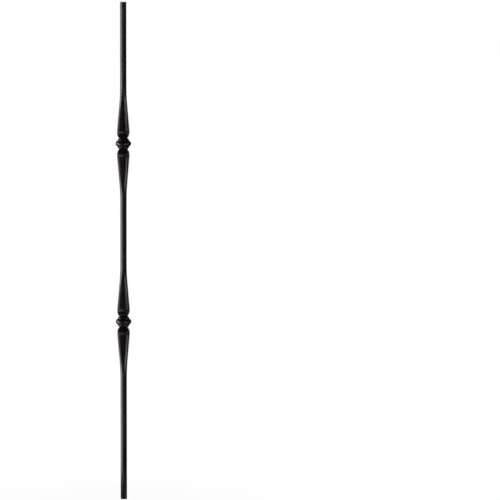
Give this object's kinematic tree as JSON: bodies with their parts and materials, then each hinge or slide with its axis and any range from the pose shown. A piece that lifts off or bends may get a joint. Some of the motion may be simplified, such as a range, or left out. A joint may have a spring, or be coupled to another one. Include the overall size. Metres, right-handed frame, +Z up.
{
  "type": "double knuckle baluster",
  "caption": "Round iron stair baluster, an upright infill bar with forged knuckles: a ring and beads between flares with four hammered faces.",
  "frame": {"origin": "centre of the foot's end face", "axes": "+Z up along the bar from the foot to the top end; the hammered faces look along +X, -X, +Y and -Y"},
  "size_m": [0.0354, 0.0354, 1.1176],
  "materials": {
    "powder_coat": "satin black powder coat with a very fine grain"
  },
  "bodies": {
    "root": {"baluster": "powder_coat"}
  },
  "joints": []
}
